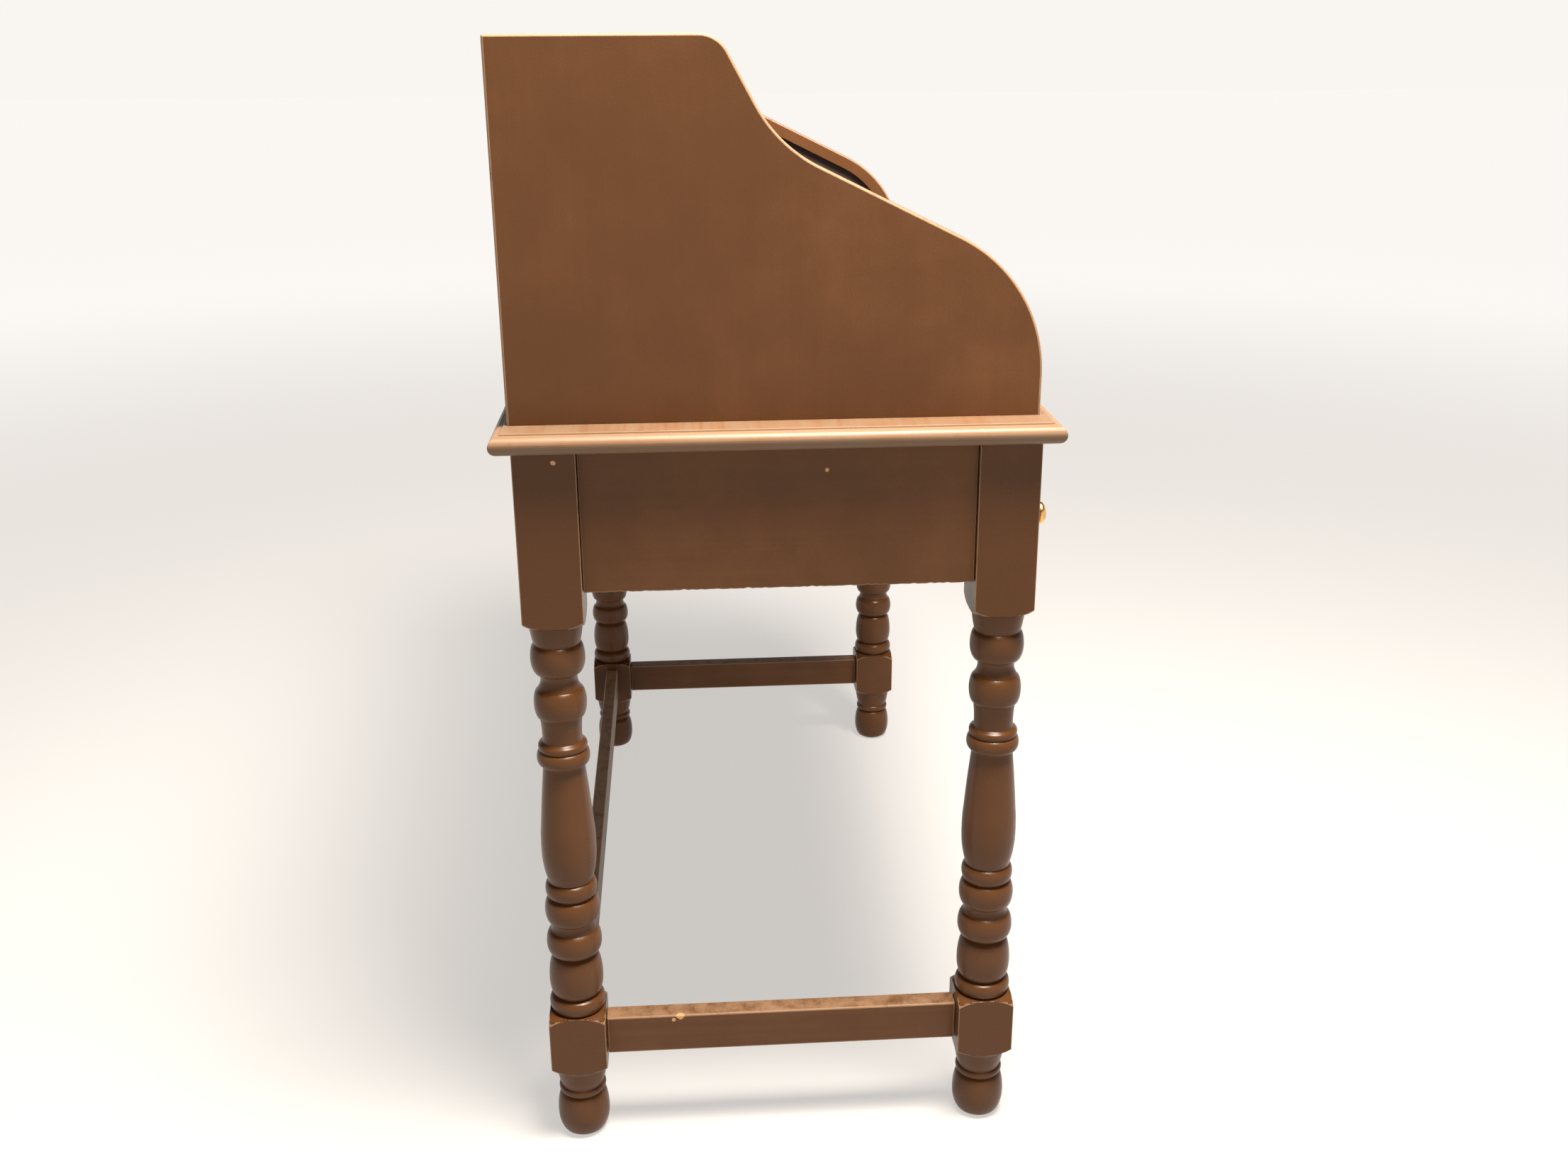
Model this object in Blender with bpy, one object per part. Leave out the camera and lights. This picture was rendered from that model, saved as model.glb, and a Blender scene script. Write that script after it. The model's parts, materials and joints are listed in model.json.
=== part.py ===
"""Roll top desk on four turned legs, with one long drawer and a sliding tambour.

Metres, +Z up. X runs left to right, the front faces -Y, and the origin is the middle of
the desk's footprint on the floor. The tambour is modelled rolled up, as it rests.
"""
import math

import bmesh
import bpy
from mathutils import Matrix, Vector

# ---- driving dimensions ---------------------------------------------------------------
GAP = 0.0003             # between pieces that touch
TOP_Z = 1.088            # top of the case
DESK_Z = 0.760           # writing height
FRAME_WIDTH = 0.996      # over the legs, left to right
FRAME_DEPTH = 0.476      # over the legs, front to back
LEG = 0.057              # square stock the legs are turned from
BOARD = 0.019            # finished thickness of the boards
OVERHANG = 0.0175        # desk top past the legs
CASE_INSET = 0.022       # outside of the case, in from the legs' outer faces
REVEAL = 0.005           # aprons and rails, back from the legs' faces
KNOB_PROUD = 0.0125      # drawer knobs past the desk top's front edge
FRAME_Y = KNOB_PROUD / 2  # centre of the leg frame, so the whole desk is centred on the origin

APRON_BOTTOM = 0.606
LOW_RAIL = 0.588         # underside of the front's lower rail and of the back apron
RAIL_DEPTH = 0.040
BLOCK_BOTTOM = 0.579     # the legs' upper square
LOW_BLOCK = (0.090, 0.1415)
LEG_SIDES = 14

# side panel: front edge, from the desk top upwards
PANEL_FRONT = -0.2388
PANEL_BACK = 0.242
BELLY_Z = 0.7967         # where the front starts to curve back
BELLY_R = 0.1367
SLOPE = math.radians(26)
STEEP = math.radians(61.4)
HOLLOW_R = 0.124
HOLLOW_AT = Vector((-0.0021, 0.9976))   # where the two slopes would meet
CROWN_R = 0.028
GROOVE_DEPTH = 0.007

# tambour: slats on a cloth backing, running in grooves
TRACK_INSET = 0.026      # cloth line, in from the panel's front edge
TRACK_TOP_Z = 1.045
TRACK_BACK = 0.165
TRACK_CROWN_R = 0.070
TRACK_REAR_R = 0.060
TRACK_TAIL = 0.25
SLAT_PITCH = 0.022
SLAT_COUNT = 17
SLAT_THICK = 0.0085
RAIL_HEIGHT = 0.036
RAIL_THICK = 0.012
TRAVEL = 0.360           # along the track, from closed to open
TRACK_START = 0.002
ROOT_SLAT = 7            # the slat whose hinge drives the others
STIFF = math.radians(0.2)  # a slat that turns less than this stays fixed to its neighbour
SLAT_END_GAP = 0.001     # slat ends to the side panels

# drawer
RAIL_SPLIT = (0.604, 0.684)   # bottom and top of the drawer's opening
DRAWER_FRONT = -0.2445
DRAWER_LIP = 0.011
DRAWER_BACK = 0.195
KNOB_X = 0.398
KNOB_Z = 0.643

# pigeonholes
NEST_FRONT = -0.015
NEST_BACK = 0.125
NEST_TOP = 0.935
NEST_SHELF = 0.822
NEST_BOARD = 0.010

HALF_W = FRAME_WIDTH / 2
HALF_D = FRAME_DEPTH / 2
PANEL_OUT = HALF_W - CASE_INSET
PANEL_IN = PANEL_OUT - BOARD
UNDER_TOP = DESK_Z - BOARD
SIDES = (("left", -1), ("right", 1))

PAINT = ("brown_paint", (0.165, 0.069, 0.026), 0.42, 0.0)
RAW_WOOD = ("inner_wood", (0.22, 0.10, 0.045), 0.55, 0.0)
BRASS = ("brass", (0.83, 0.48, 0.17), 0.28, 1.0)


# ---- materials and objects ------------------------------------------------------------
def material(piece, spec):
    """Each piece gets a material of its own, named after it."""
    finish, colour, roughness, metallic = spec
    made = bpy.data.materials.new(f"{piece}_{finish}")
    made.use_nodes = True
    shader = made.node_tree.nodes["Principled BSDF"]
    shader.inputs["Base Color"].default_value = (*colour, 1)
    shader.inputs["Roughness"].default_value = roughness
    shader.inputs["Metallic"].default_value = metallic
    return made


def finish(name, bm, spec, origin=(0, 0, 0), smooth=False):
    """Turns a bmesh into a named object whose origin is at the given point."""
    bmesh.ops.remove_doubles(bm, verts=bm.verts, dist=0.00001)
    bmesh.ops.recalc_face_normals(bm, faces=bm.faces)
    bmesh.ops.translate(bm, verts=bm.verts, vec=-Vector(origin))
    mesh = bpy.data.meshes.new(name)
    bm.to_mesh(mesh)
    bm.free()
    piece = bpy.data.objects.new(name, mesh)
    piece.location = Vector(origin) + Vector((0, FRAME_Y, 0))
    bpy.context.scene.collection.objects.link(piece)
    mesh.materials.append(material(name, spec))
    if smooth:
        mesh.shade_smooth()
        mesh.set_sharp_from_angle(angle=math.radians(40))
    return piece


def board(name, low, high, spec=PAINT, chamfer=0.001, origin=(0, 0, 0)):
    """A board between two corners, its edges eased."""
    bm = bmesh.new()
    low, high = Vector(low), Vector(high)
    bmesh.ops.create_cube(bm, size=1.0)
    bmesh.ops.scale(bm, vec=high - low, verts=bm.verts)
    bmesh.ops.translate(bm, vec=(low + high) / 2, verts=bm.verts)
    if chamfer:
        bmesh.ops.bevel(bm, geom=bm.edges[:], offset=chamfer, segments=1, profile=0.5,
                        affect="EDGES", material=-1)
    return finish(name, bm, spec, origin)


def prism(name, outline, x0, x1, spec=PAINT, origin=(0, 0, 0)):
    """An outline in Y and Z, drawn out along X."""
    bm = bmesh.new()
    face = bm.faces.new([bm.verts.new((x0, y, z)) for y, z in outline])
    grown = bmesh.ops.extrude_face_region(bm, geom=[face])
    moved = [v for v in grown["geom"] if isinstance(v, bmesh.types.BMVert)]
    bmesh.ops.translate(bm, verts=moved, vec=(x1 - x0, 0, 0))
    return finish(name, bm, spec, origin)


def mirrored(x, side):
    """The two X ends of a piece on the left (-1) or right (+1), in rising order."""
    return sorted(side * value for value in x)


# ---- turned work ----------------------------------------------------------------------
def turned_arc(z0, z1, r0, peak, r1, at=0.5, steps=4):
    """Points of a bead, ball or vase: radius r0 at z0, the peak part way, r1 at z1."""
    points = []
    for i in range(steps + 1):
        t = i / steps
        u = (t - at) / (at if t < at else 1 - at)
        start = r0 if t < at else r1
        points.append((start + (peak - start) * math.sqrt(max(0.0, 1 - u * u)),
                       z0 + (z1 - z0) * t))
    return points


def shoulder(z_square, z_neck, steps=2):
    """Where the lathe cuts the square's end round: wide at the square, the flat at the neck."""
    corner, flat = LEG * 0.72, LEG / 2 - 0.0002
    points = []
    for i in range(steps + 1):
        t = i / steps
        points.append((corner + (flat - corner) * t,
                       z_square + (z_neck - z_square) * math.sin(t * math.pi / 2)))
    return points


def leg_profile():
    """Radius and height up the leg, from the foot to the top of the upper square."""
    corner = LEG * 0.72
    line = [(0.0, 0.0)]
    line += turned_arc(0.0, 0.046, 0.0175, 0.0270, 0.0225, at=0.45, steps=5)       # bun foot
    line += turned_arc(0.046, 0.054, 0.0225, 0.0248, 0.0228, steps=2)             # ring
    line += [(0.0240, 0.058), (0.0262, 0.076)]                                     # cup
    line += shoulder(LOW_BLOCK[0], LOW_BLOCK[0] - 0.007)[::-1]
    line += [(corner, LOW_BLOCK[0] + 0.001), (corner, LOW_BLOCK[1] - 0.001)]
    line += shoulder(LOW_BLOCK[1], LOW_BLOCK[1] + 0.0075)
    line += turned_arc(0.1495, 0.1660, 0.0262, 0.0284, 0.0255, steps=4)           # ring
    line += turned_arc(0.1665, 0.2130, 0.0250, 0.0275, 0.0208, at=0.30, steps=6)  # onion
    line += turned_arc(0.2135, 0.2420, 0.0212, 0.0280, 0.0242, steps=4)           # wide ring
    line += turned_arc(0.2425, 0.2790, 0.0240, 0.0278, 0.0238, steps=4)           # ball
    line += turned_arc(0.2795, 0.2980, 0.0232, 0.0254, 0.0226, steps=2)           # ring
    line += [(0.0226, 0.2990)]
    line += turned_arc(0.3000, 0.3700, 0.0228, 0.0270, 0.0250, at=0.50, steps=4)  # baluster
    line += [(0.0227, 0.3980), (0.0202, 0.4250)]
    line += turned_arc(0.4255, 0.4425, 0.0205, 0.0258, 0.0232, steps=4)           # ring
    line += turned_arc(0.4430, 0.4490, 0.0225, 0.0240, 0.0205, steps=2)           # thin ring
    line += [(0.0191, 0.4500), (0.0203, 0.4740)]                                   # straight
    line += turned_arc(0.4745, 0.5045, 0.0208, 0.0259, 0.0182, at=0.48, steps=4)  # wide ring
    line += [(0.0173, 0.5090), (0.0186, 0.5130)]                                   # neck
    line += turned_arc(0.5135, 0.5500, 0.0190, 0.0265, 0.0222, at=0.58, steps=5)  # ball
    line += [(0.0218, 0.5510), (0.0243, 0.5600), (0.0252, 0.5690)]                 # collar
    line += shoulder(BLOCK_BOTTOM, BLOCK_BOTTOM - 0.007)[::-1]
    line += [(corner, BLOCK_BOTTOM + 0.001), (corner, UNDER_TOP - GAP), (0.0, UNDER_TOP - GAP)]
    return line


def spun(bm, line, sides, centre=(0, 0, 0), axis=(0, 0, 1)):
    """Spins a radius-and-height line about an axis through the centre."""
    turn = Vector((0, 0, 1)).rotation_difference(Vector(axis)).to_matrix().to_4x4()
    verts = [bm.verts.new((r, 0, z)) for r, z in line]
    edges = [bm.edges.new(pair) for pair in zip(verts, verts[1:])]
    bmesh.ops.spin(bm, geom=verts + edges, cent=(0, 0, 0), axis=(0, 0, 1),
                   angle=2 * math.pi, steps=sides, use_merge=True)
    bmesh.ops.remove_doubles(bm, verts=bm.verts, dist=0.00001)
    bmesh.ops.rotate(bm, cent=(0, 0, 0), matrix=turn, verts=bm.verts)
    bmesh.ops.translate(bm, vec=centre, verts=bm.verts)


def leg(name, x, y):
    """A square bar cut down to its turned shape, so the squares keep the lathe's curved ends."""
    bm = bmesh.new()
    spun(bm, leg_profile(), LEG_SIDES)
    turning = finish(name, bm, PAINT, smooth=True)
    turning.location = (x, y + FRAME_Y, 0)
    bm = bmesh.new()
    bmesh.ops.create_cube(bm, size=1.0)
    bmesh.ops.scale(bm, vec=(LEG, LEG, 2 * DESK_Z), verts=bm.verts)
    bar = finish(f"{name}_bar", bm, PAINT)
    bar.location = turning.location
    bar.hide_render = True
    bar.display_type = "WIRE"
    cut = turning.modifiers.new("square bar", "BOOLEAN")
    cut.operation = "INTERSECT"
    cut.solver = "EXACT"
    cut.object = bar
    return turning


# ---- lines in the side view -----------------------------------------------------------
def heading(angle):
    return Vector((math.cos(angle), math.sin(angle)))


def outward(angle):
    return Vector((-math.sin(angle), math.cos(angle)))


class Track:
    """A line of straights and arcs in the Y-Z plane, with the place and heading along it."""

    def __init__(self, start, angle):
        self.parts = []
        self.length = 0.0
        self.end = Vector(start)
        self.angle = angle

    def straight(self, length):
        self.parts.append((self.length, length, self.end.copy(), self.angle, None, 0))
        self.end += heading(self.angle) * length
        self.length += length

    def bend(self, radius, turn):
        side = math.copysign(1, turn)
        self.parts.append((self.length, radius * abs(turn), self.end.copy(), self.angle,
                           radius, side))
        centre = self.end + outward(self.angle) * radius * side
        self.angle += turn
        self.end = centre - outward(self.angle) * radius * side
        self.length += radius * abs(turn)

    def at(self, distance):
        for start, length, point, angle, radius, side in self.parts:
            if distance <= start + length or start + length >= self.length:
                along = distance - start
                if radius is None:
                    return point + heading(angle) * along, angle
                centre = point + outward(angle) * radius * side
                now = angle + side * along / radius
                return centre - outward(now) * radius * side, now

    def sampled(self, step, offset=0.0):
        """Points along the line, with more on the bends, moved outward by the offset."""
        points = []
        for start, length, _, _, radius, _ in self.parts:
            count = 1 if radius is None else max(2, math.ceil(length / step))
            for i in range(count):
                place, angle = self.at(start + length * i / count + 1e-7)
                points.append(place + outward(angle) * offset)
        place, angle = self.at(self.length)
        points.append(place + outward(angle) * offset)
        return points


def s_edge(inset=0.0):
    """The S-shaped front of the side panel, or a line inside it, up to the steep straight."""
    belly_end = Vector((PANEL_FRONT + BELLY_R, BELLY_Z)) + outward(SLOPE) * BELLY_R
    straight = (HOLLOW_AT - belly_end).length - HOLLOW_R * math.tan((STEEP - SLOPE) / 2)
    line = Track((PANEL_FRONT + inset, DESK_Z), math.pi / 2)
    line.straight(BELLY_Z - DESK_Z)
    line.bend(BELLY_R - inset, SLOPE - math.pi / 2)
    line.straight(straight)
    line.bend(HOLLOW_R + inset, STEEP - SLOPE)
    return line


def add_crown(line, level, radius):
    """Carries a line up the steep straight and rounds it over to run back at a level."""
    rise = (level - line.end.y) / math.sin(STEEP)
    line.straight(rise - radius * math.tan(STEEP / 2))
    line.bend(radius, -STEEP)


def tambour_track():
    """The cloth line: up the front, back under the case top and down behind the pigeonholes."""
    line = s_edge(TRACK_INSET)
    add_crown(line, TRACK_TOP_Z, TRACK_CROWN_R)
    line.straight(TRACK_BACK - TRACK_REAR_R - line.end.x)
    line.bend(TRACK_REAR_R, -math.pi / 2)
    line.straight(TRACK_TAIL)
    return line


# ---- tambour kinematics ---------------------------------------------------------------
def slat_widths():
    return [RAIL_HEIGHT] + [SLAT_PITCH] * SLAT_COUNT


def hinge_points(line, start):
    """Where the slats' edges lie on the track: each slat is a chord of its own width."""
    points = [line.at(start)[0]]
    place = start
    for width in slat_widths():
        near, far = place, place + 1.5 * width
        for _ in range(50):
            middle = (near + far) / 2
            if (line.at(middle)[0] - points[-1]).length < width:
                near = middle
            else:
                far = middle
        place = near
        points.append(line.at(place)[0])
    return points


def headings(points):
    """Each slat's angle, unwound so that it never jumps by a turn."""
    angles = []
    for a, b in zip(points, points[1:]):
        angle = math.atan2((b - a).y, (b - a).x)
        if angles:
            angle += 2 * math.pi * round((angles[-1] - angle) / (2 * math.pi))
        angles.append(angle)
    return angles


def turning_point(a, b, turn):
    """The point about which a turn carries a to b."""
    middle = (a + b) / 2
    step = (b - a) / 2
    return middle + Vector((-step.y, step.x)) / math.tan(turn / 2)


def tambour_joints():
    """Neighbour, hinge place and closing angle of each slat. The root slat turns against the
    case, and every other slat against its neighbour nearer the root. A slat that never turns
    against its neighbour takes that neighbour's hinge."""
    line = tambour_track()
    opened = hinge_points(line, TRACK_START + TRAVEL)
    closed = hinge_points(line, TRACK_START)
    turns = [c - o for c, o in zip(headings(closed), headings(opened))]
    root = ROOT_SLAT
    centre = turning_point((opened[root] + opened[root + 1]) / 2,
                           (closed[root] + closed[root + 1]) / 2, turns[root])
    joints = {root: (None, centre, turns[root])}
    for i in list(range(root + 1, len(turns))) + list(range(root - 1, -1, -1)):
        neighbour = i - 1 if i > root else i + 1
        place = opened[max(i, neighbour)]
        turn = turns[i] - turns[neighbour]
        if abs(turn) < STIFF:
            place, turn = joints[neighbour][1], 0.0
        joints[i] = (neighbour, place, turn)
    return joints


def slat_name(index):
    return "lift_rail" if index == 0 else f"tambour_slat_{index:02d}"


# ---- sub-parts ------------------------------------------------------------------------
def desk_top():
    """A slab with a moulded edge: rings of four corners, each set in by its own amount."""
    rings = ((0.0050, 0.0), (0.0018, 0.0016), (0.0, 0.0050), (0.0, 0.0095), (0.0016, 0.0135),
             (0.0045, 0.0160), (0.0095, 0.0172), (0.0100, BOARD))
    bm = bmesh.new()
    loops = []
    for inset, height in rings:
        x = HALF_W + OVERHANG - inset
        y = HALF_D + OVERHANG - inset
        corners = [bm.verts.new((sx * x, sy * y, UNDER_TOP + height))
                   for sx, sy in ((-1, -1), (1, -1), (1, 1), (-1, 1))]
        loops.append([bm.edges.new((corners[i], corners[i - 1])) for i in range(4)])
    for lower, upper in zip(loops, loops[1:]):
        bmesh.ops.bridge_loops(bm, edges=lower + upper)
    for end in (loops[0], loops[-1]):
        bmesh.ops.edgenet_fill(bm, edges=end)
    finish("desk_top", bm, PAINT)


def leg_frame():
    x, y = HALF_W - LEG / 2, HALF_D - LEG / 2
    for side, sx in SIDES:
        leg(f"leg_front_{side}", sx * x, -y)
        leg(f"leg_back_{side}", sx * x, y)
    between_x = HALF_W - LEG - GAP
    between_y = HALF_D - LEG - GAP
    face = HALF_D - REVEAL
    top = UNDER_TOP - GAP
    for side, sx in SIDES:
        near, far = mirrored((HALF_W - REVEAL, HALF_W - REVEAL - BOARD), sx)
        board(f"side_apron_{side}", (near, -between_y, APRON_BOTTOM), (far, between_y, top))
    board("back_apron", (-between_x, face - BOARD, LOW_RAIL), (between_x, face, top))
    board("front_top_rail", (-between_x, -face, RAIL_SPLIT[1]), (between_x, -face + RAIL_DEPTH, top))
    board("front_bottom_rail", (-between_x, -face, LOW_RAIL),
          (between_x, -face + RAIL_DEPTH, RAIL_SPLIT[0]))
    stretchers(between_x, between_y)


def stretchers(between_x, between_y):
    """Rails between the legs' lower squares: one on each side and one at the back."""
    side_thick, back_thick = 0.021, 0.017
    middle = HALF_W - LEG / 2
    for side, sx in SIDES:
        near, far = mirrored((middle - side_thick / 2, middle + side_thick / 2), sx)
        board(f"side_stretcher_{side}", (near, -between_y, 0.0945), (far, between_y, 0.137))
    y = HALF_D - LEG / 2
    board("back_stretcher", (-between_x, y - back_thick / 2, 0.098),
          (between_x, y + back_thick / 2, 0.1395))


def drawer_supports():
    """Runners under the drawer's sides and kickers over them, from front rail to back apron."""
    front = RAIL_DEPTH + REVEAL + GAP - HALF_D
    back = HALF_D - REVEAL - BOARD - GAP
    for side, sx in SIDES:
        near, far = mirrored((0.412, 0.436), sx)
        board(f"drawer_runner_{side}", (near, front, LOW_RAIL), (far, back, RAIL_SPLIT[0]),
              RAW_WOOD)
        board(f"drawer_kicker_{side}", (near, front, RAIL_SPLIT[1]),
              (far, back, RAIL_SPLIT[1] + 0.018), RAW_WOOD)


def drawer():
    lip_back = DRAWER_FRONT + DRAWER_LIP
    plug_back = lip_back + 0.014
    low, high = RAIL_SPLIT
    lap = 0.006
    play = 0.001
    half = HALF_W - LEG - 0.002
    prism("drawer_front",
          [(DRAWER_FRONT, low - lap), (lip_back, low - lap), (lip_back, low + play),
           (plug_back, low + play), (plug_back, high - play), (lip_back, high - play),
           (lip_back, high + lap), (DRAWER_FRONT, high + lap)], -half, half)
    side_in, side_out = 0.419, 0.431
    bottom, top = low + 0.0005, high - 0.004
    start = plug_back + GAP
    for side, sx in SIDES:
        near, far = mirrored((side_in, side_out), sx)
        board(f"drawer_side_{side}", (near, start, bottom), (far, DRAWER_BACK, top), RAW_WOOD)
    inside = side_in - GAP
    floor = bottom + 0.005
    board("drawer_bottom", (-inside, start, floor), (inside, DRAWER_BACK, floor + 0.0055),
          RAW_WOOD, chamfer=0)
    board("drawer_back", (-inside, DRAWER_BACK - 0.012, floor + 0.0055 + GAP),
          (inside, DRAWER_BACK, top), RAW_WOOD)
    for side, sx in SIDES:
        knob(f"drawer_knob_{side}", (sx * KNOB_X, DRAWER_FRONT - GAP, KNOB_Z))


def knob(name, base):
    """A small turned knob on a rose, standing out of the drawer front."""
    reach = OVERHANG + HALF_D + KNOB_PROUD + base[1]
    line = [(0.0, 0.0), (0.0085, 0.0), (0.0085, 0.0018), (0.0048, 0.0040),
            (0.0042, reach * 0.45)]
    line += turned_arc(reach * 0.50, reach, 0.0055, 0.0110, 0.0, at=0.52, steps=6)
    bm = bmesh.new()
    spun(bm, line, 12, base, (0, -1, 0))
    finish(name, bm, BRASS, smooth=True)


def panel_outline():
    edge = s_edge()
    add_crown(edge, TOP_Z, CROWN_R)
    points = [Vector((PANEL_BACK, DESK_Z + GAP))] + edge.sampled(0.018)
    points[1].y = DESK_Z + GAP
    return points + [Vector((PANEL_BACK, TOP_Z))]


def track_cutter(name, x0, x1):
    """The groove as a solid: the cloth line thickened to take the slats' ends."""
    line = tambour_track()
    inner = line.sampled(0.014, -0.0015)
    outer = line.sampled(0.014, SLAT_THICK + 0.0015)
    drop = Vector((0, -0.010))
    inner[0] += drop
    outer[0] += drop
    cutter = prism(name, inner + outer[::-1], x0, x1)
    cutter.hide_render = True
    cutter.display_type = "WIRE"
    return cutter


def side_panels():
    for side, sx in SIDES:
        inner, outer = sx * PANEL_IN, sx * PANEL_OUT
        panel = prism(f"side_panel_{side}", panel_outline(), *sorted((inner, outer)))
        ends = sorted((inner - sx * 0.010, inner + sx * GROOVE_DEPTH))
        cut = panel.modifiers.new("tambour groove", "BOOLEAN")
        cut.operation = "DIFFERENCE"
        cut.solver = "EXACT"
        cut.object = track_cutter(f"groove_{side}", *ends)


def case_boards():
    """The top and back between the side panels; the top's front follows the panels' crown."""
    half = PANEL_IN - GAP
    under = TOP_Z - 0.016
    edge = s_edge()
    add_crown(edge, TOP_Z, CROWN_R)
    crown = [p for p in edge.sampled(0.008) if p.y > under + 0.002]
    low = HOLLOW_AT + heading(STEEP) * (under - HOLLOW_AT.y) / math.sin(STEEP)
    prism("case_top", [low] + crown + [(PANEL_BACK, TOP_Z), (PANEL_BACK, under)], -half, half)
    board("case_back", (-half, PANEL_BACK - 0.012, DESK_Z + GAP), (half, PANEL_BACK, under - GAP))


def pigeonholes():
    """A nest of open compartments that stands on the desk top, behind the writing space."""
    half = PANEL_IN - 0.004
    thick = NEST_BOARD
    base = DESK_Z + GAP
    rear = NEST_BACK - 0.006
    for side, sx in SIDES:
        near, far = mirrored((half - thick, half), sx)
        board(f"nest_end_{side}", (near, NEST_FRONT, base), (far, NEST_BACK, NEST_TOP - thick - GAP),
              RAW_WOOD)
    board("nest_top", (-half, NEST_FRONT, NEST_TOP - thick), (half, NEST_BACK, NEST_TOP), RAW_WOOD)
    inside = half - thick - GAP
    board("nest_shelf", (-inside, NEST_FRONT, NEST_SHELF - thick), (inside, rear - GAP, NEST_SHELF),
          RAW_WOOD)
    board("nest_back", (-inside, rear, base), (inside, NEST_BACK, NEST_TOP - thick - GAP), RAW_WOOD,
          chamfer=0)
    count = 4
    for i in range(count):
        x = -inside + 2 * inside * (i + 1) / (count + 1)
        board(f"nest_divider_{i + 1}", (x - 0.003, NEST_FRONT + 0.002, NEST_SHELF + GAP),
              (x + 0.003, rear - GAP, NEST_TOP - thick - GAP), RAW_WOOD)


def slat_outline(start, end, thick, ease):
    """A slat's section on its chord: flat on the cloth, sides sloped in, front rounded off."""
    along = (end - start).normalized()
    out = Vector((-along.y, along.x))
    inset, rise = 0.0003, 0.45
    return [start + along * inset,
            start + along * (inset + 0.0007) + out * thick * rise,
            start + along * (inset + ease) + out * thick,
            end - along * (inset + ease) + out * thick,
            end - along * (inset + 0.0007) + out * thick * rise,
            end - along * inset]


def tambour():
    """The rolled-up slats, each with its origin on its own hinge line."""
    opened = hinge_points(tambour_track(), TRACK_START + TRAVEL)
    half = PANEL_IN - SLAT_END_GAP
    for index, (_, pivot, _) in tambour_joints().items():
        thick = RAIL_THICK if index == 0 else SLAT_THICK
        ease = 0.0025 if index == 0 else 0.0050
        outline = slat_outline(opened[index], opened[index + 1], thick, ease)
        prism(slat_name(index), outline, -half, half, PAINT, (0, pivot.x, pivot.y))
    lifts(opened[0], opened[1], tambour_joints()[0][1])


def lifts(start, end, pivot):
    """Two low brass pulls on the lift rail's face."""
    along = (end - start).normalized()
    out = Vector((-along.y, along.x))
    middle = (start + end) / 2 + out * (RAIL_THICK + GAP)
    half_height, thick = 0.0065, 0.0045
    section = [middle - along * half_height, middle - along * (half_height - 0.002) + out * thick,
               middle + along * (half_height - 0.002) + out * thick, middle + along * half_height]
    for side, sx in SIDES:
        x0, x1 = mirrored((0.190, 0.260), sx)
        prism(f"lift_pull_{side}", section, x0, x1, BRASS, (0, pivot.x, pivot.y))


def build():
    for old in list(bpy.data.objects):
        bpy.data.objects.remove(old, do_unlink=True)
    desk_top()
    leg_frame()
    drawer_supports()
    drawer()
    side_panels()
    case_boards()
    pigeonholes()
    tambour()


if __name__ == "__main__":
    build()
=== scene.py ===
"""Looks of the roll top desk: turned legs, moulded top, S-sided case and slatted tambour.

Run as a script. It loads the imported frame, builds a finished piece for each painted board and
turned leg, gives the inner boards their wood and sets the stage.
"""
import json
import math

import bmesh
import bpy
from mathutils import Matrix, Vector


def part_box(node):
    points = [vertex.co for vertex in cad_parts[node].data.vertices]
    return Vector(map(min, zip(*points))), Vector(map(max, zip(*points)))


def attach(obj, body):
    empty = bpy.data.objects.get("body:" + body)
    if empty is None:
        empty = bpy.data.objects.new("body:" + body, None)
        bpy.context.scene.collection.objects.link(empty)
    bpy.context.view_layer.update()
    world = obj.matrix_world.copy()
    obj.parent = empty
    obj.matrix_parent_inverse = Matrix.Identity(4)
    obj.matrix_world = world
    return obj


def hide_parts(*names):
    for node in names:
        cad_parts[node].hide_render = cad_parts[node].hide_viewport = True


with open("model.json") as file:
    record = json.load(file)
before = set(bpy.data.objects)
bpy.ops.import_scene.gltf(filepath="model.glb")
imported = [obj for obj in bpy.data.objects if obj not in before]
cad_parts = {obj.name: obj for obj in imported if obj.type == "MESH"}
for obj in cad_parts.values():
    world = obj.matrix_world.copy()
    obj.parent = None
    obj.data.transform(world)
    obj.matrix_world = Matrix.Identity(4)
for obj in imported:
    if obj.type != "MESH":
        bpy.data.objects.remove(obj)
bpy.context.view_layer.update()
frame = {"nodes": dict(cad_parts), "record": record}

bl_info = {
    "name": "Roll top desk",
    "version": (1, 0, 0),
    "blender": (4, 5, 0),
    "location": "View3D > Sidebar > Desk",
    "description": "Builds the finished pieces of a painted roll top desk",
    "category": "Object",
}

SIDES = (("left", -1), ("right", 1))
CORNERS = tuple(f"leg_{row}_{side}" for row in ("front", "back") for side, _ in SIDES)
CENTRE_Y = (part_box("desk_top")[0].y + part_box("desk_top")[1].y) / 2
DESK_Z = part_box("desk_top")[1].z
WEAR_AND_HIGHLIGHT_ATTRIBUTE = "rubbed"        # face attribute: 1 on eased edges, where the paint is worn; on some upward faces it carries a painted highlight
FLAT = 0.985             # how far along an axis the normal of a board's flat face points
WELD = 0.000005          # corners nearer than this become one
SAME = 0.000001          # places nearer than this count as the same


# ---- settings -------------------------------------------------------------------------
def colour(name, description, default):
    return bpy.props.FloatVectorProperty(name=name, description=description, default=default,
                                         subtype="COLOR", size=3, min=0, max=1)


def length(name, description, default):
    return bpy.props.FloatProperty(name=name, description=description, default=default,
                                   min=0, subtype="DISTANCE", unit="LENGTH")


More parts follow.
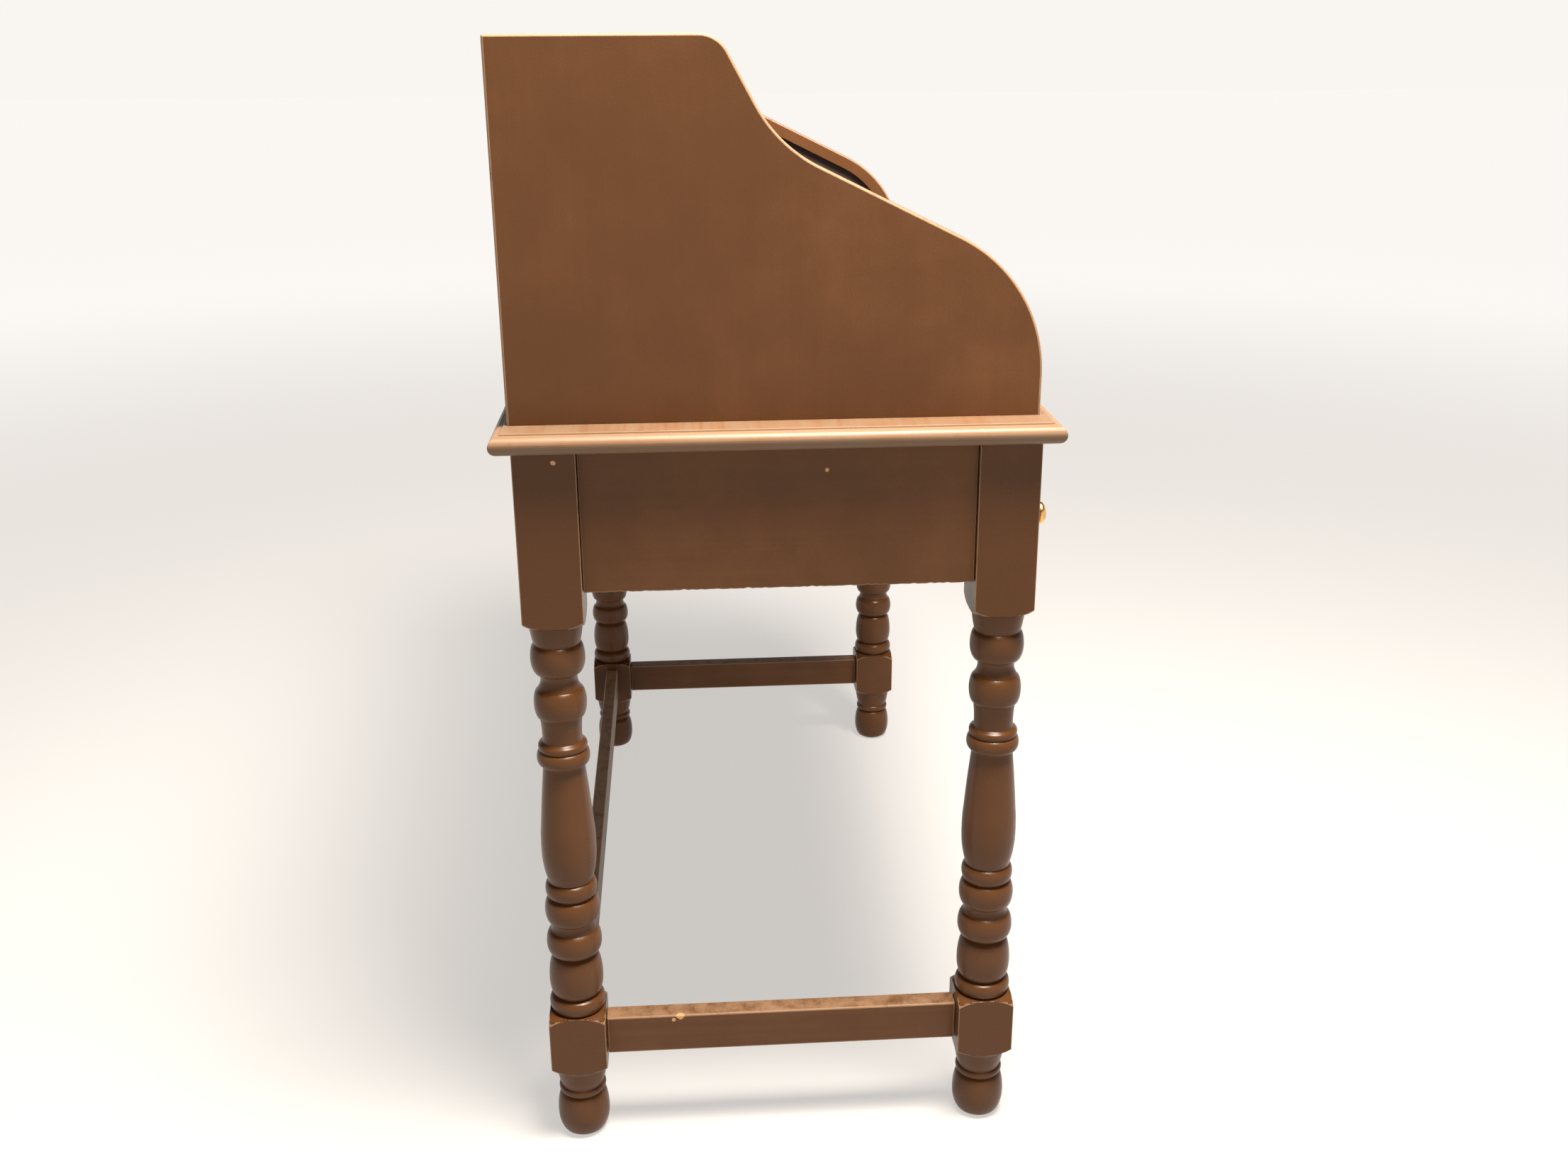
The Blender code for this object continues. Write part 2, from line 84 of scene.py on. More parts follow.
class DeskPaint(bpy.types.PropertyGroup):
    """Colours and finish of the brown paint."""
    light: colour("Light paint", "Paint where it is thinnest", (0.165, 0.066, 0.023))
    dark: colour("Dark paint", "Paint where it is thickest", (0.084, 0.033, 0.010))
    # This pale colour is also laid on upward faces as a painted highlight.
    worn: colour("Rubbed paint", "Paint worn back along the edges", (0.42, 0.27, 0.165))
    # Painted sheen: a pale grey tan that stands for the greyed look of top faces in bright light
    # from above.
    dry: colour("Dry paint", "Thin, dry-brushed paint", (0.150, 0.103, 0.066))
    bare: colour("Bare wood", "Wood showing through a chip", (0.50, 0.27, 0.12))
    roughness: bpy.props.FloatProperty(name="Roughness", description="Roughness of the paint",
                                       default=0.46, min=0, max=1)
    stipple: length("Stipple", "Size of the fine texture the brush leaves", 0.0014)


class DeskTurning(bpy.types.PropertyGroup):
    """How finely the legs are turned."""
    sides: bpy.props.IntProperty(name="Sides", description="Flats round each turned leg",
                                 default=56, min=12, max=128)
    arris: length("Arris", "Easing of the squares' edges", 0.0009)


class DeskBoards(bpy.types.PropertyGroup):
    """Easing of the boards' edges."""
    easing: length("Easing", "Radius on a board's edges", 0.0014)
    panel_easing: length("Panel easing", "Radius round the case's side panels", 0.0022)
    case_easing: length("Case easing", "Radius on the case's top and back", 0.0008)
    drawer_easing: length("Drawer easing", "Radius round the drawer front", 0.0060)
    slat_easing: length("Slat easing", "Radius along the slats' faces", 0.0016)


class DeskMetal(bpy.types.PropertyGroup):
    """The brass of the knobs and pulls."""
    brass: colour("Brass", "Colour of the polished brass", (0.86, 0.50, 0.17))
    tarnish: colour("Tarnish", "Colour where the brass has dulled", (0.34, 0.17, 0.05))
    pull_easing: length("Pull easing", "Radius on the finger pulls", 0.0013)


class DeskInside(bpy.types.PropertyGroup):
    """The unpainted wood and cloth inside."""
    wood_light: colour("Light wood", "Between the grain lines", (0.30, 0.145, 0.062))
    wood_dark: colour("Dark wood", "Along the grain lines", (0.125, 0.050, 0.018))
    # The groove colour is near black: bare dark wood, darkened further as painted shade for the
    # depth of the groove.
    groove: colour("Groove", "Dark inside of the tambour grooves", (0.018, 0.006, 0.004))
    dust: colour("Dust", "Dust lying in the tambour grooves", (0.05, 0.022, 0.014))
    cloth: colour("Cloth", "The tambour's cloth backing", (0.23, 0.17, 0.10))


class DeskStage(bpy.types.PropertyGroup):
    """Floor, lights and camera."""
    floor: colour("Floor", "Colour of the floor", (0.24, 0.24, 0.24))
    glow_near: colour("Near glow", "Light the floor gives off round the desk",
                      (0.56, 0.54, 0.515))
    glow_far: colour("Far glow", "Light the floor gives off far away", (0.90, 0.87, 0.84))
    key_power: bpy.props.FloatProperty(name="Overhead", description="Power of the overhead light",
                                       default=215, min=0, unit="POWER")
    horizon: bpy.props.FloatProperty(name="Horizon", description="Brightness round the horizon",
                                     default=0.95, min=0)
    zenith: bpy.props.FloatProperty(name="Zenith", description="Brightness overhead",
                                    default=0.05, min=0)
    fill_power: bpy.props.FloatProperty(name="Fill", description="Power of the side light",
                                        default=5, min=0, unit="POWER")


# ---- shader maths ---------------------------------------------------------------------
class Socket:
    """An output of a node that can be used in Python expressions."""

    def __init__(self, graph, output):
        self.graph = graph
        self.output = output

    def math(self, operation, *others):
        return self.graph.node("ShaderNodeMath", {"operation": operation}, self, *others)

    def __add__(self, other):
        return self.math("ADD", other)

    def __mul__(self, other):
        return self.math("MULTIPLY", other)

    def __sub__(self, other):
        return self.math("SUBTRACT", other)

    def __rsub__(self, other):
        return self.graph.node("ShaderNodeMath", {"operation": "SUBTRACT"}, other, self)

    def above(self, low, high):
        """0 below low, 1 above high and a smooth step between."""
        return self.graph.node("ShaderNodeMapRange", {"interpolation_type": "SMOOTHSTEP"},
                               self, low, high)


class Graph:
    """A material made of nodes, with a Principled shader at its end.

    Named inputs are written with underscores for spaces: Base_Color feeds "Base Color".
    """

    def __init__(self, name):
        self.material = bpy.data.materials.new(name)
        self.material.use_nodes = True
        self.tree = self.material.node_tree
        self.shader = self.tree.nodes["Principled BSDF"]
        self.place = self.node("ShaderNodeTexCoord", {}, output="Object")

    def node(self, kind, settings, *values, output=0, **named):
        """Adds a node. The values feed its inputs in order, where None leaves one alone."""
        made = self.tree.nodes.new(kind)
        for key, value in settings.items():
            setattr(made, key, value)
        for index, value in enumerate(values):
            self.feed(made.inputs[index], value)
        for key, value in named.items():
            self.feed(made.inputs[key.replace("_", " ")], value)
        return Socket(self, made.outputs[output])

    def feed(self, target, value):
        if isinstance(value, Socket):
            self.tree.links.new(value.output, target)
        elif value is not None:
            target.default_value = value

    def stretched(self, scale):
        """The object's own coordinates, scaled along each axis."""
        return self.node("ShaderNodeMapping", {}, Vector=self.place, Scale=scale)

    def noise(self, scale, detail=2.0, place=None, roughness=0.5, distortion=0.0):
        return self.node("ShaderNodeTexNoise", {}, Vector=place or self.place, Scale=scale,
                         Detail=detail, Roughness=roughness, Distortion=distortion)

    def mix(self, factor, first, second):
        """Colour from first to second as the factor goes from 0 to 1."""
        first = first if isinstance(first, Socket) else (*first, 1)
        unused = [None] * 5        # the node's inputs for numbers and vectors
        return self.node("ShaderNodeMix", {"data_type": "RGBA"}, factor, *unused, first,
                         (*second, 1), output=2)

    def near(self, centre, radius, ragged=0.4):
        """1 inside a ragged spot round a point, 0 outside."""
        offset = self.node("ShaderNodeVectorMath", {"operation": "DISTANCE"}, self.place,
                           centre, output="Value")
        edge = self.noise(1.4 / radius, 3.0) - 0.5
        return 1 - (offset + edge * (2 * ragged * radius)).above(radius * 0.85, radius)

    def bump(self, height, strength, distance):
        return self.node("ShaderNodeBump", {}, Strength=strength, Distance=distance,
                         Height=height)

    def finish(self, **sockets):
        """Feeds the shader's inputs and gives back the material."""
        for key, value in sockets.items():
            self.feed(self.shader.inputs[key.replace("_", " ")], value)
        return self.material


# ---- materials ------------------------------------------------------------------------
def drawn_along(axis, lengthwise, crosswise):
    """The scale that stretches a texture out along one axis."""
    return tuple(lengthwise if name == axis else crosswise for name in "xyz")


def brown_paint(name, along, wear_and_highlight_amount=1.0, gloss=0.0, streaks=0.25, tone=0.0, dry=0.0,
                chips=()):
    """Satin paint laid on by hand: stippled, streaked along the board and worn on its edges, with
    painted shade, painted sheen and painted highlights where they are asked for.
    """
    paint = bpy.context.scene.desk_paint
    g = Graph(name)
    cloud = g.noise(3.2, 3.0, roughness=0.55)
    mottle = g.noise(26, 4.0, roughness=0.6)
    stipple = g.noise(1 / paint.stipple, 2.0, roughness=0.7)
    strokes = g.noise(1.0, 5.0, place=g.stretched(drawn_along(along, 3, 110)), roughness=0.65)
    ragged = g.noise(75, 4.0, roughness=0.7)
    # The tone shifts the whole paint; the negative tones given below make darker copies of the one
    # paint as painted shade.
    shade = cloud * 0.9 + mottle * 0.35 + stipple * 0.35 + strokes * streaks - 0.45 + tone
    body = g.mix(shade.above(0.05, 0.95), paint.dark, paint.light)
    # Painted sheen: pale grey streaks along the brush strokes, standing for bright light greying
    # the top faces.
    if dry:
        sheen_streaks = (strokes + mottle * 0.3).above(0.42, 0.78)
        body = g.mix(sheen_streaks * 0.5 + (dry - 0.25), body, paint.dry)
    # Pale paint on the marked faces: real wear on eased edges, and a painted highlight on upward
    # faces where a top amount is given.
    rubbed = g.node("ShaderNodeAttribute", {"attribute_name": WEAR_AND_HIGHLIGHT_ATTRIBUTE}, output="Fac")
    wear_and_highlight = (rubbed * (ragged + 0.32)).above(0.42, 0.80) * wear_and_highlight_amount
    body = g.mix(wear_and_highlight, body, paint.worn)
    for centre, radius in chips:
        body = g.mix(g.near(centre, radius), body, paint.bare)
    height = stipple * 0.55 + strokes * (0.5 + streaks) + mottle * 0.6
    return g.finish(
        Base_Color=body,
        Roughness=mottle * 0.16 + stipple * 0.10 + (paint.roughness - 0.13 - gloss),
        Specular_IOR_Level=0.22,
        Normal=g.bump(height, 0.55, 0.00022),
    )


def inner_wood(name, along):
    """Stained wood with long grain, for the drawer box and pigeonholes."""
    inside = bpy.context.scene.desk_inside
    g = Graph(name)
    scale = drawn_along(along, 1.2, 22)
    grain = g.noise(1.6, 6.0, place=g.stretched(scale), roughness=0.62, distortion=0.6)
    pores = g.noise(1.0, 3.0, place=g.stretched(tuple(v * 26 for v in scale)), roughness=0.7)
    cloud = g.noise(4, 2.0)
    tone = (grain * 0.9 + pores * 0.35 + cloud * 0.3 - 0.28).above(0.15, 0.85)
    body = g.mix(tone, inside.wood_dark, inside.wood_light)
    return g.finish(Base_Color=body, Roughness=pores * 0.2 + 0.40,
                    Normal=g.bump(pores * 0.7 + grain * 0.4, 0.5, 0.0002))


def groove_shade_and_dust(name):
    """The inside of the tambour grooves: bare dark wood painted near black as painted shade for
    the groove's depth, with specks of dust.
    """
    inside = bpy.context.scene.desk_inside
    g = Graph(name)
    dust = g.noise(60, 4.0)
    body = g.mix(dust.above(0.5, 0.9), inside.groove, inside.dust)
    return g.finish(Base_Color=body, Roughness=dust * 0.2 + 0.6, Normal=g.bump(dust, 0.4, 0.0003))


def cloth_backing(name):
    """Plain-woven cloth glued behind the slats."""
    inside = bpy.context.scene.desk_inside
    g = Graph(name)
    across = g.node("ShaderNodeTexWave", {"bands_direction": "X"}, Vector=g.place, Scale=210.0,
                    Distortion=0.6)
    down = g.node("ShaderNodeTexWave", {"bands_direction": "DIAGONAL"}, Vector=g.place,
                  Scale=190.0, Distortion=0.6)
    weave = across * 0.5 + down * 0.5
    stain = g.noise(9, 3.0)
    dark = tuple(value * 0.45 for value in inside.cloth)
    body = g.mix((weave * 0.6 + stain * 0.5).above(0.2, 0.9), dark, inside.cloth)
    return g.finish(Base_Color=body, Roughness=weave * 0.1 + 0.82,
                    Normal=g.bump(weave, 0.6, 0.0003))


def aged_brass(name):
    """Polished brass with a little tarnish and fine scratches."""
    metal = bpy.context.scene.desk_metal
    g = Graph(name)
    tarnish = g.noise(140, 4.0, roughness=0.6)
    scratch = g.noise(1.0, 3.0, place=g.stretched((260, 900, 2400)), roughness=0.7)
    body = g.mix(tarnish.above(0.52, 0.80), metal.brass, metal.tarnish)
    return g.finish(Base_Color=body, Metallic=1.0,
                    Roughness=tarnish * 0.22 + scratch * 0.10 + 0.10,
                    Normal=g.bump(scratch + tarnish * 0.5, 0.25, 0.00008))


# ---- pieces ---------------------------------------------------------------------------
def mark_faces(bm, wear_and_highlight):
    """Writes on each face, from 0 to 1, how much pale paint it gets: wear on eased edges, and on
    some upward faces a painted highlight.
    """
    layer = bm.faces.layers.float.new(WEAR_AND_HIGHLIGHT_ATTRIBUTE)
    bm.normal_update()
    for face in bm.faces:
        face[layer] = wear_and_highlight(face)


def board_wear_and_highlight(face, top_highlight=0.0):
    """Worn where a face looks between the axes; where it looks up, the pale paint is a painted
    highlight of the light from above, as strong as the top amount given.
    """
    if max(abs(v) for v in face.normal) < FLAT:
        return 1.0
    return top_highlight if face.normal.z > FLAT else 0.0


def outline_wear(face):
    """Worn between the ends and the outline of a shape that is drawn out along X."""
    return 1.0 if 0.08 < abs(face.normal.x) < FLAT else 0.0


def mesh_object(name, bm, materials):
    """Turns a bmesh into an object of the scene, and frees it."""
    mesh = bpy.data.meshes.new(name)
    bm.to_mesh(mesh)
    bm.free()
    for material in materials:
        mesh.materials.append(material)
    made = bpy.data.objects.new(name, mesh)
    bpy.context.scene.collection.objects.link(made)
    return made


def place_piece(name, bm, materials, nodes, body="desk", smooth=35, wear_and_highlight=None):
    """Turns a bmesh into a piece that stands for some CAD nodes and rides on their body."""
    bmesh.ops.remove_doubles(bm, verts=bm.verts, dist=WELD)
    bmesh.ops.recalc_face_normals(bm, faces=bm.faces)
    if wear_and_highlight:
        mark_faces(bm, wear_and_highlight)
    piece = mesh_object(name, bm, materials)
    piece.data.shade_smooth()
    piece.data.set_sharp_from_angle(angle=math.radians(smooth))
    weighted = piece.modifiers.new("even shading", "WEIGHTED_NORMAL")
    weighted.keep_sharp = True
    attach(piece, body)
    if nodes:
        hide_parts(*nodes)


def new_parts(grown, kind, key="geom"):
    """The corners or edges among what a bmesh operator has made."""
    return [part for part in grown[key] if isinstance(part, kind)]


def extrude(bm, faces, vec):
    """Extrudes some faces and moves the new end of the shape."""
    grown = bmesh.ops.extrude_face_region(bm, geom=faces)
    bmesh.ops.translate(bm, verts=new_parts(grown, bmesh.types.BMVert), vec=vec)


def turned(points, axis, steps):
    """A line of points turned once round an axis through the origin."""
    bm = bmesh.new()
    verts = [bm.verts.new(point) for point in points]
    edges = [bm.edges.new(pair) for pair in zip(verts, verts[1:])]
    bmesh.ops.spin(bm, geom=verts + edges, cent=(0, 0, 0), axis=axis, angle=2 * math.pi,
                   steps=steps, use_merge=True)
    return bm


def box_mesh(low, high):
    """A plain box from its two far corners."""
    bm = bmesh.new()
    bmesh.ops.create_cube(bm, size=1.0)
    bmesh.ops.scale(bm, vec=high - low, verts=bm.verts)
    bmesh.ops.translate(bm, vec=(low + high) / 2, verts=bm.verts)
    return bm


def eased(bm, edges, radius, segments=3):
    """Rounds some edges over."""
    bmesh.ops.bevel(bm, geom=edges, offset=radius, offset_type="OFFSET", segments=segments,
                    profile=0.5, affect="EDGES", material=-1)


def board_piece(node, material, radius, top_highlight=0.0):
    """A painted board with rounded edges, the size of its CAD node."""
    low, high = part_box(node)
    bm = box_mesh(low, high)
    eased(bm, bm.edges[:], radius)
    place_piece(f"{node}_painted", bm, [material], [node],
                wear_and_highlight=lambda face: board_wear_and_highlight(face, top_highlight))


class Pen:
    """Draws a line of straights and arcs in the plane X = 0, by extruding and spinning."""

    def __init__(self, start, angle):
        self.bm = bmesh.new()
        self.tip = self.bm.verts.new((0, *start))
        self.angle = angle

    def heading(self):
        """The way the pen moves."""
        return Vector((0, math.cos(self.angle), math.sin(self.angle)))

    def outward(self):
        """The side of the line a quarter turn up from the heading."""
        return Vector((0, -math.sin(self.angle), math.cos(self.angle)))

    def to(self, y, z):
        """A straight to a point, keeping the heading."""
        grown = bmesh.ops.extrude_vert_indiv(self.bm, verts=[self.tip])
        self.tip = grown["verts"][0]
        self.tip.co = (0, y, z)

    def straight(self, distance):
        """A straight along the heading."""
        goal = self.tip.co + self.heading() * distance
        self.to(goal.y, goal.z)

    def bend(self, radius, turn, steps):
        """An arc that turns the heading, to the outward side if the turn is positive."""
        side = math.copysign(1, turn)
        centre = self.tip.co + self.outward() * radius * side
        grown = bmesh.ops.spin(self.bm, geom=[self.tip], cent=centre, axis=(1, 0, 0),
                               angle=turn, steps=steps)
        self.tip, = new_parts(grown, bmesh.types.BMVert, "geom_last")
        self.angle += turn

    def solid(self, x0, x1):
        """Closes the line with one more edge and draws it out along X."""
        ends = [v for v in self.bm.verts if len(v.link_edges) == 1]
        self.bm.edges.new(ends)
        bmesh.ops.contextual_create(self.bm, geom=self.bm.edges[:])
        bmesh.ops.translate(self.bm, verts=self.bm.verts, vec=(x0, 0, 0))
        extrude(self.bm, self.bm.faces[:], (x1 - x0, 0, 0))
        bmesh.ops.recalc_face_normals(self.bm, faces=self.bm.faces)
        return self.bm


# ---- case -----------------------------------------------------------------------------
BELLY_Z = 0.7967          # where the case's front starts to curve back
BELLY_R = 0.1367
SLOPE = math.radians(26)
STEEP = math.radians(61.4)
HOLLOW_R = 0.124
HOLLOW_AT = Vector((0, CENTRE_Y - 0.0021, 0.9976))
CROWN_R = 0.028
CLOTH_INSET = 0.026       # the tambour's cloth line, in from the case's front edge
CLOTH_TOP = 1.045         # where it runs level under the case's top
CLOTH_CROWN_R = 0.070
CLOTH_BACK = CENTRE_Y + 0.165   # where it runs down behind
CLOTH_REAR_R = 0.060
GROOVE_DEEP = 0.0070
GROOVE_WALLS = (-0.0015, 0.0100)   # out from the cloth line
GROOVE_START = DESK_Z - 0.004      # at the front, a little into the desk top
GROOVE_END = 0.762                 # at the back


def front_line(inset, start_z):
    """The S of the case's front, or a line inside it, up to its steep straight."""
    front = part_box("side_panel_left")[0].y
    pen = Pen((front + inset, start_z), math.pi / 2)
    pen.straight(BELLY_Z - start_z)
    pen.bend(BELLY_R - inset, SLOPE - math.pi / 2, 26)
    reach = (HOLLOW_AT - pen.tip.co).dot(pen.heading())
    pen.straight(reach - HOLLOW_R * math.tan((STEEP - SLOPE) / 2))
    pen.bend(HOLLOW_R + inset, STEEP - SLOPE, 20)
    return pen


def crown(pen, level, radius):
    """The steep straight and the bend over onto the level top."""
    rise = (level - pen.tip.co.z) / math.sin(STEEP)
    pen.straight(rise - radius * math.tan(STEEP / 2))
    pen.bend(radius, -STEEP, 14)


def cloth_line(out):
    """The tambour's path, moved out by a distance: up the front, back and down behind."""
    pen = front_line(CLOTH_INSET - out, GROOVE_START)
    crown(pen, CLOTH_TOP + out, CLOTH_CROWN_R + out)
    pen.straight(CLOTH_BACK - CLOTH_REAR_R - pen.tip.co.y)
    pen.bend(CLOTH_REAR_R + out, -math.pi / 2, 16)
    pen.straight(pen.tip.co.z - GROOVE_END)
    return pen


def groove_cutter(x0, x1, material):
    """A band along the tambour's path, as thick as the groove is wide."""
    inner, outer = (cloth_line(wall) for wall in GROOVE_WALLS)
    shared = bpy.data.meshes.new("groove_line")
    outer.bm.to_mesh(shared)
    outer.bm.free()
    bm = inner.bm
    bm.from_mesh(shared)
    bpy.data.meshes.remove(shared)
    loose = sorted((v for v in bm.verts if len(v.link_edges) == 1), key=lambda v: v.co.y)
    bm.edges.new(loose[:2])
    bm.edges.new(loose[2:])
    bmesh.ops.edgenet_fill(bm, edges=bm.edges[:])
    bmesh.ops.translate(bm, verts=bm.verts, vec=(x0, 0, 0))
    extrude(bm, bm.faces[:], (x1 - x0, 0, 0))
    bmesh.ops.recalc_face_normals(bm, faces=bm.faces)
    return mesh_object("groove_cutter", bm, [material])


def cut(bm, cutter, paint):
    """Takes the cutter out of a mesh and gives back the result; the cut keeps its material."""
    blank = mesh_object("uncut", bm, [paint])
    boolean = blank.modifiers.new("groove", "BOOLEAN")
    boolean.operation = "DIFFERENCE"
    boolean.solver = "EXACT"
    boolean.material_mode = "TRANSFER"
    boolean.object = cutter
    shaped = blank.evaluated_get(bpy.context.evaluated_depsgraph_get()).to_mesh()
    result = bmesh.new()
    result.from_mesh(shaped)
    names = [material.name for material in shaped.materials]    # the materials are copies
    for leftover in (blank, cutter):
        bpy.data.objects.remove(leftover, do_unlink=True)
    return result, [bpy.data.materials[name] for name in names]


def side_panel(side, sx, paint, dark):
    """An S-fronted panel, its edges eased and the groove cut into its inner face."""
    node = f"side_panel_{side}"
    low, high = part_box(node)
    pen = front_line(0, low.z)
    crown(pen, high.z, CROWN_R)
    pen.to(high.y, high.z)
    pen.to(high.y, low.z)
    bm = pen.solid(low.x, high.x)
    rims = [e for e in bm.edges if e.calc_face_angle(0) > 1.0 and not is_foot(e, low.z)]
    eased(bm, rims, bpy.context.scene.desk_boards.panel_easing)
    inner = high.x if sx < 0 else low.x
    clear = 0.01             # how far the cutter stands out of the panel
    ends = sorted((inner - sx * clear, inner + sx * GROOVE_DEEP))
    bm, materials = cut(bm, groove_cutter(*ends, dark), paint)
    place_piece(f"{node}_painted", bm, materials, [node], wear_and_highlight=outline_wear)


def is_foot(edge, level):
    """True for the edges that the panel stands on."""
    return all(abs(v.co.z - level) < SAME for v in edge.verts)


def case_top(paint):
    """The board between the panels' tops, with their crown along its front."""
    low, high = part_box("case_top")
    pen = front_line(0, DESK_Z)
    crown(pen, high.z, CROWN_R)
    pen.to(high.y, high.z)
    pen.to(high.y, low.z)
    bm = pen.solid(low.x, high.x)
    bmesh.ops.bisect_plane(bm, geom=bm.verts[:] + bm.edges[:] + bm.faces[:],
                           plane_co=(0, 0, low.z), plane_no=(0, 0, 1), clear_inner=True)
    bmesh.ops.holes_fill(bm, edges=bm.edges[:], sides=0)
    sharp = [e for e in bm.edges if e.calc_face_angle(0) > 0.9]
    eased(bm, sharp, bpy.context.scene.desk_boards.case_easing, 2)
    place_piece("case_top_painted", bm, [paint], ["case_top"],
                wear_and_highlight=outline_wear)


# ---- legs and top ---------------------------------------------------------------------
BLANK = 0.72              # radius of the stock left for the squares, in widths of the stock
LOW_BLOCK = (0.084, 0.148)    # heights between which the lower square lies
HIGH_BLOCK_FROM = 0.573   # height above which all is square
RAGGED = 0.00045          # how far the side aprons' lower edges wander


def rounded(z0, z1, r0, peak, r1, at=0.5, steps=9):
    """Radius and height along a bead, ball or vase, fullest part way up."""
    points = []
    for i in range(steps + 1):
        t = i / steps
        u = (t - at) / (at if t < at else 1 - at)
        start = r0 if t < at else r1
        points.append((start + (peak - start) * math.sqrt(max(0.0, 1 - u * u)),
                       z0 + (z1 - z0) * t))
    return points


def eased_line(points, steps=6):
    """A smooth line through a few radii and heights."""
    line = []
    padded = [points[0], *points, points[-1]]
    for a, b, c, d in zip(padded, padded[1:], padded[2:], padded[3:]):
        for i in range(steps):
            t = i / steps
            line.append(tuple(0.5 * (2 * q + (r - p) * t + (2 * p - 5 * q + 4 * r - s) * t * t
                                     + (3 * q - p - 3 * r + s) * t ** 3)
                              for p, q, r, s in zip(a, b, c, d)))
    return line + [points[-1]]


def leg_line(stock):
    """The turned line from the foot to the collar, with wide stretches left for the squares."""
    wide = stock * BLANK
    half = stock / 2 - 0.0002

    def shoulder(square, neck, steps=8):
        """The curve from a square in to the turning beside it."""
        return [(wide + (half - wide) * i / steps,
                 square + (neck - square) * math.sin(i / steps * math.pi / 2))
                for i in range(steps + 1)]

    line = [(0.0, 0.0), (0.0165, 0.0)]
    line += rounded(0.0006, 0.0478, 0.0180, 0.0268, 0.0204, at=0.48, steps=18)
    line += rounded(0.0484, 0.0572, 0.0212, 0.0243, 0.0224, steps=9)
    line += eased_line([(0.0224, 0.0578), (0.0228, 0.0600), (0.0242, 0.0650), (0.0259, 0.0745),
                        (0.0266, 0.0790)])
    line += shoulder(0.090, 0.083)[::-1]
    line += [(wide, 0.091), (wide, 0.1405)]
    line += shoulder(0.1415, 0.1490)
    line += rounded(0.1494, 0.1660, 0.0244, 0.0282, 0.0230, steps=12)
    line += rounded(0.1666, 0.2130, 0.0218, 0.0272, 0.0200, at=0.40, steps=20)
    line += rounded(0.2136, 0.2410, 0.0206, 0.0277, 0.0226, at=0.48, steps=14)
    line += eased_line([(0.0228, 0.2416), (0.0217, 0.2440), (0.0213, 0.2475), (0.0219, 0.2505)], 4)
    line += rounded(0.2508, 0.2790, 0.0221, 0.0274, 0.0215, steps=14)
    line += rounded(0.2797, 0.2975, 0.0220, 0.0257, 0.0212, steps=11)
    line += eased_line([(0.0226, 0.2983), (0.0229, 0.3005), (0.0247, 0.3080), (0.0261, 0.3170),
                        (0.0270, 0.3290), (0.0268, 0.3480), (0.0257, 0.3620), (0.0243, 0.3800),
                        (0.0229, 0.3960), (0.0213, 0.4120), (0.0202, 0.4235)])
    line += rounded(0.4243, 0.4400, 0.0204, 0.0257, 0.0226, steps=12)
    line += rounded(0.4404, 0.4486, 0.0222, 0.0237, 0.0206, steps=8)
    line += eased_line([(0.0193, 0.4498), (0.0190, 0.4530), (0.0194, 0.4640), (0.0203, 0.4735)])
    line += rounded(0.4742, 0.5040, 0.0203, 0.0252, 0.0206, at=0.50, steps=14)
    line += eased_line([(0.0208, 0.5046), (0.0193, 0.5070), (0.0179, 0.5110), (0.0176, 0.5150),
                        (0.0186, 0.5190)])
    line += rounded(0.5192, 0.5500, 0.0188, 0.0259, 0.0218, at=0.52, steps=16)
    line += eased_line([(0.0219, 0.5506), (0.0225, 0.5520), (0.0236, 0.5570), (0.0249, 0.5650),
                        (0.0256, 0.5710)])
    line += shoulder(0.579, 0.572)[::-1]
    return line + [(wide, 0.580)]


def turned_leg(node, paint):
    """Turns the leg, then planes the four flats off, which leaves the squares' curved ends."""
    turning = bpy.context.scene.desk_turning
    low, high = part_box(node)
    stock = high.x - low.x
    line = leg_line(stock) + [(stock * BLANK, high.z), (0.0, high.z)]
    bm = turned([(r, 0, z) for r, z in line], (0, 0, 1), turning.sides)
    bmesh.ops.remove_doubles(bm, verts=bm.verts, dist=WELD)
    bmesh.ops.recalc_face_normals(bm, faces=bm.faces)
    for flat in (Vector((1, 0, 0)), Vector((-1, 0, 0)), Vector((0, 1, 0)), Vector((0, -1, 0))):
        sliced = bmesh.ops.bisect_plane(bm, geom=bm.verts[:] + bm.edges[:] + bm.faces[:],
                                        dist=SAME, plane_co=flat * stock / 2, plane_no=flat,
                                        clear_outer=True)
        rim = new_parts(sliced, bmesh.types.BMEdge, "geom_cut")
        bmesh.ops.holes_fill(bm, edges=rim, sides=0)
    bm.normal_update()
    arrises = [e for e in bm.edges if len(e.link_faces) == 2 and e.calc_face_angle(0) > 0.5
               and any(is_planed(f) for f in e.link_faces)]
    eased(bm, arrises, turning.arris, 2)
    mark_faces(bm, lambda face: float(is_arris(face, stock)))
    bmesh.ops.translate(bm, vec=((low.x + high.x) / 2, (low.y + high.y) / 2, 0), verts=bm.verts)
    place_piece(f"{node}_turned", bm, [paint], [node], smooth=32)


def is_planed(face):
    """True for a flat of a square, which is large and looks straight along X or Y."""
    return max(abs(face.normal.x), abs(face.normal.y)) > 0.9999 and face.calc_area() > 0.001


def is_arris(face, stock):
    """True for the eased strips along the squares' corners."""
    middle = face.calc_center_median()
    reach = max(abs(middle.x), abs(middle.y))
    flat = max(abs(face.normal.x), abs(face.normal.y))
    square = LOW_BLOCK[0] < middle.z < LOW_BLOCK[1] or middle.z > HIGH_BLOCK_FROM
    return square and reach > stock / 2 - 0.0012 and flat < 0.995 and face.calc_area() < 0.0002


